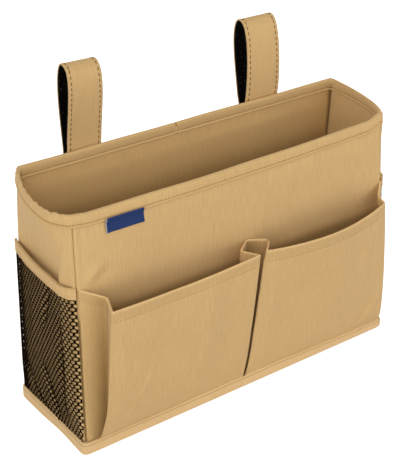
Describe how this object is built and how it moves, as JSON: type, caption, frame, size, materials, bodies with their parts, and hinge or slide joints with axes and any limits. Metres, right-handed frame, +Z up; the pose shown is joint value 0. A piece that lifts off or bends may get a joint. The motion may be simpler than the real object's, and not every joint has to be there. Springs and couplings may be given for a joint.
{
  "type": "bedside caddy",
  "caption": "Upright cloth caddy with one deep compartment, pleated front pockets, mesh side pockets and hook-and-loop strap loops on its back.",
  "frame": {"origin": "middle of the base's underside", "axes": "+X to the right along the caddy, +Y from the front pockets to the back wall, +Z up"},
  "size_m": [0.3234, 0.1383, 0.283],
  "materials": {
    "cloth": "tan plain-weave cloth, matt",
    "binding": "lighter tan woven binding, matt",
    "lining": "tan plain-weave lining, matt",
    "board": "grey stiffener board",
    "mesh": "black knitted mesh",
    "hook_and_loop": "black hook-and-loop tape",
    "tab": "dark blue woven tab, blank"
  },
  "bodies": {
    "back": {"back_panel": "cloth", "back_board": "board", "back_lining": "lining", "base_panel": "cloth", "base_board": "board", "base_lining": "lining", "side_panel_left": "cloth", "side_panel_right": "cloth", "rim_hem_back": "cloth", "rim_hem_left": "cloth", "rim_hem_right": "cloth", "base_binding_back": "binding", "base_binding_left": "binding", "base_binding_right": "binding", "mesh_pocket_left": "mesh", "mesh_pocket_right": "mesh", "mesh_binding_left": "cloth", "mesh_binding_right": "cloth", "strap_left": "cloth", "strap_right": "cloth", "strap_tape_left": "hook_and_loop", "strap_tape_right": "hook_and_loop", "hook_patch_left": "hook_and_loop", "hook_patch_right": "hook_and_loop"},
    "front_wall": {"front_panel": "cloth", "front_board": "board", "front_lining": "lining", "rim_hem_front": "cloth", "base_binding_front": "binding", "sewn_tab": "tab", "pocket_centre_strip": "cloth", "pocket_pleat_left_outer": "cloth", "pocket_pleat_left_inner": "cloth", "pocket_pleat_right_inner": "cloth", "pocket_pleat_right_outer": "cloth"},
    "pocket_left": {"pocket_front_left": "cloth", "pocket_hem_left": "cloth"},
    "pocket_right": {"pocket_front_right": "cloth", "pocket_hem_right": "cloth"},
    "strap_left_flap": {"strap_flap_left": "cloth", "flap_tape_left": "hook_and_loop"},
    "strap_right_flap": {"strap_flap_right": "cloth", "flap_tape_right": "hook_and_loop"}
  },
  "joints": [
    {"name": "fold_flat", "type": "slide", "parent": "back", "child": "front_wall", "axis": [0, 1, 0], "range_m": [0, 0.053], "deforming": ["side_panel_left", "side_panel_right", "rim_hem_left", "rim_hem_right", "base_binding_left", "base_binding_right", "mesh_pocket_left", "mesh_pocket_right", "mesh_binding_left", "mesh_binding_right", "base_panel", "base_board", "base_lining"]},
    {"name": "pocket_left_open", "type": "hinge", "parent": "front_wall", "child": "pocket_left", "pos_m": [-0.068, -0.048, 0.0113], "axis": [1, 0, 0], "range_deg": [-11, 4], "deforming": ["pocket_pleat_left_outer", "pocket_pleat_left_inner"]},
    {"name": "pocket_right_open", "type": "hinge", "parent": "front_wall", "child": "pocket_right", "pos_m": [0.074, -0.048, 0.0113], "axis": [1, 0, 0], "range_deg": [-7, 4], "deforming": ["pocket_pleat_right_inner", "pocket_pleat_right_outer"]},
    {"name": "strap_left_open", "type": "hinge", "parent": "back", "child": "strap_left_flap", "pos_m": [-0.087, 0.0545, 0.283], "axis": [1, 0, 0], "range_deg": [0, 160]},
    {"name": "strap_right_open", "type": "hinge", "parent": "back", "child": "strap_right_flap", "pos_m": [0.083, 0.0625, 0.274], "axis": [1, 0, 0], "range_deg": [0, 160]}
  ]
}
